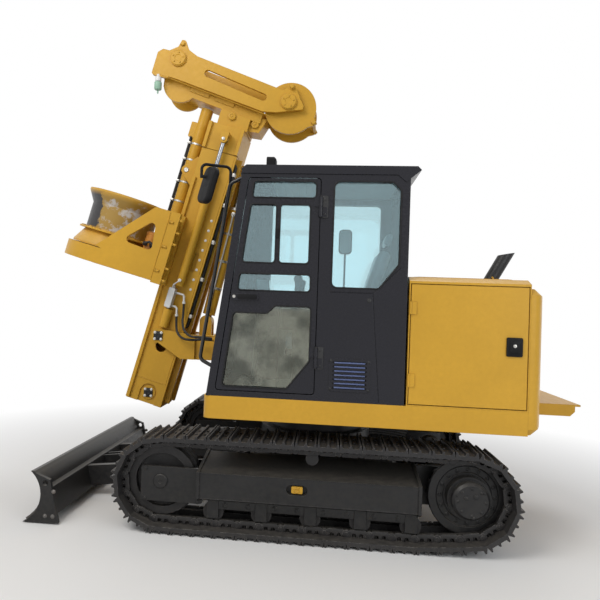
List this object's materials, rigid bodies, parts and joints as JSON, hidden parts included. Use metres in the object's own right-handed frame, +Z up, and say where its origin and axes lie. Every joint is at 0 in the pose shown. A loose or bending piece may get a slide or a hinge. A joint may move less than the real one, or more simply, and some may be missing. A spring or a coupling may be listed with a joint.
{
  "type": "tracked rotary drilling rig",
  "caption": "Compact tracked rotary drilling rig: slewing cab and engine deck, tilting telescopic mast with feed carriage, rotary drive pot and rope crown, and a dozer blade.",
  "frame": {"origin": "on the ground, midway along and across the machine as it parks", "axes": "+X forward toward the blade, +Y to the machine's left, the cab's side, +Z up"},
  "size_m": [4.3916, 2.3, 3.993],
  "materials": {
    "yellow_paint": "gloss paint, dusty",
    "motor_paint": "gloss paint",
    "black_paint": "semi-gloss paint, dusty",
    "track_steel": "worn dark steel",
    "cab_paint": "gloss paint",
    "glass": "clear, slightly green",
    "chrome": "polished",
    "seat_cloth": "woven",
    "dark_plastic": "grained",
    "rail_paint": "gloss paint",
    "valve_paint": "gloss paint",
    "engine_iron": "painted casting",
    "hose_rubber": "matt"
  },
  "bodies": {
    "undercarriage": {"track_left": "track_steel", "track_right": "track_steel", "idlers": "track_steel", "sprockets": "track_steel", "final_drives": "black_paint", "track_rollers": "track_steel", "track_frames": "black_paint", "car_body": "black_paint", "slew_bearing": "black_paint"},
    "blade": {"blade": "black_paint"},
    "blade_cylinder": {"blade_barrel": "black_paint"},
    "blade_ram": {"blade_rod": "chrome"},
    "upper": {"deck_frame": "yellow_paint", "belly_frame": "black_paint", "counterweight": "yellow_paint", "rear_tray": "yellow_paint", "engine_housing": "yellow_paint", "engine": "engine_iron", "right_housing": "yellow_paint", "exhaust": "black_paint", "cab_left_panel": "cab_paint", "cab_right_panel": "cab_paint", "cab_front_frame": "cab_paint", "cab_rear_panel": "cab_paint", "cab_roof": "cab_paint", "roof_lamp": "dark_plastic", "cab_floor": "dark_plastic", "cab_glazing": "glass", "seat": "seat_cloth", "console": "dark_plastic", "grab_rail": "rail_paint", "mirror_head": "dark_plastic", "mast_bracket": "yellow_paint", "winch_frame": "yellow_paint"},
    "cab_door": {"cab_door": "cab_paint", "door_glazing": "glass"},
    "hood_door": {"hood_door": "yellow_paint"},
    "winch_drum": {"winch_drum": "black_paint"},
    "tilt_cylinder": {"tilt_barrel": "yellow_paint"},
    "tilt_ram": {"tilt_rod": "chrome"},
    "mast": {"mast_lower": "yellow_paint", "feed_barrel": "yellow_paint", "extension_barrel": "yellow_paint", "valve_block": "valve_paint", "hose_low": "hose_rubber", "hose_high": "hose_rubber"},
    "upper_mast": {"mast_upper": "yellow_paint", "crown": "yellow_paint", "extension_rod": "chrome"},
    "front_sheave": {"front_sheave": "yellow_paint"},
    "rear_sheave": {"rear_sheave": "yellow_paint"},
    "carriage": {"carriage": "yellow_paint", "rotary_motors": "motor_paint", "feed_rod": "chrome"},
    "drive_pot": {"drive_pot": "yellow_paint"}
  },
  "joints": [
    {"name": "slew", "type": "hinge", "parent": "undercarriage", "child": "upper", "pos_m": [-0.14985, 0, 0.742], "axis": [0, 0, 1], "continuous": true},
    {"name": "blade_lift", "type": "hinge", "parent": "undercarriage", "child": "blade", "pos_m": [0.65014, 0, 0.3], "axis": [0, -1, 0], "range_deg": [-16, 18]},
    {"name": "blade_cylinder_turn", "type": "hinge", "parent": "undercarriage", "child": "blade_cylinder", "pos_m": [0.69015, 0, 0.5], "axis": [0, -1, 0], "range_deg": [-16.18, 18.13]},
    {"name": "blade_ram_slide", "type": "slide", "parent": "blade_cylinder", "child": "blade_ram", "axis": [0.9541, 0, -0.2995], "range_m": [-0.0653, 0.0583]},
    {"name": "mast_tilt", "type": "hinge", "parent": "upper", "child": "mast", "pos_m": [1.24015, 0, 1.365], "axis": [0, 1, 0], "range_deg": [0, 20]},
    {"name": "tilt_cylinder_turn", "type": "hinge", "parent": "upper", "child": "tilt_cylinder", "pos_m": [0.86015, 0, 1.5], "axis": [0, 1, 0], "range_deg": [-0.5, 22.71]},
    {"name": "tilt_ram_slide", "type": "slide", "parent": "tilt_cylinder", "child": "tilt_ram", "axis": [-0.2191, 0, 0.9757], "range_m": [-0.002, 0.1316]},
    {"name": "mast_extend", "type": "slide", "parent": "mast", "child": "upper_mast", "axis": [-0.2588, 0, 0.9659], "range_m": [0, 0.9]},
    {"name": "feed", "type": "slide", "parent": "mast", "child": "carriage", "axis": [-0.2588, 0, 0.9659], "range_m": [-1, 0.05]},
    {"name": "drive_spin", "type": "hinge", "parent": "carriage", "child": "drive_pot", "pos_m": [1.76359, 0, 2.11607], "axis": [-0.2588, 0, 0.9659], "continuous": true},
    {"name": "front_sheave_spin", "type": "hinge", "parent": "upper_mast", "child": "front_sheave", "pos_m": [1.16866, 0, 3.82637], "axis": [0, 1, 0], "continuous": true},
    {"name": "rear_sheave_spin", "type": "hinge", "parent": "upper_mast", "child": "rear_sheave", "pos_m": [0.17506, 0, 3.43901], "axis": [0, 1, 0], "continuous": true},
    {"name": "winch_spin", "type": "hinge", "parent": "upper", "child": "winch_drum", "pos_m": [0.18014, -0.62, 1.265], "axis": [0, 1, 0], "continuous": true},
    {"name": "cab_door_swing", "type": "hinge", "parent": "upper", "child": "cab_door", "pos_m": [-0.14985, 1.116, 1.232], "axis": [0, 0, 1], "range_deg": [0, 165]},
    {"name": "hood_door_swing", "type": "hinge", "parent": "upper", "child": "hood_door", "pos_m": [-0.79585, 1.108, 1], "axis": [0, 0, 1], "range_deg": [-100, 0]}
  ],
  "couplings": [
    {"joint": "blade_cylinder_turn", "follows": "blade_lift", "ratio": 0.9797},
    {"joint": "blade_ram_slide", "follows": "blade_lift", "m_per_rad": -0.20154},
    {"joint": "tilt_cylinder_turn", "follows": "mast_tilt", "ratio": 1.1104},
    {"joint": "tilt_ram_slide", "follows": "mast_tilt", "m_per_rad": 0.37135}
  ]
}
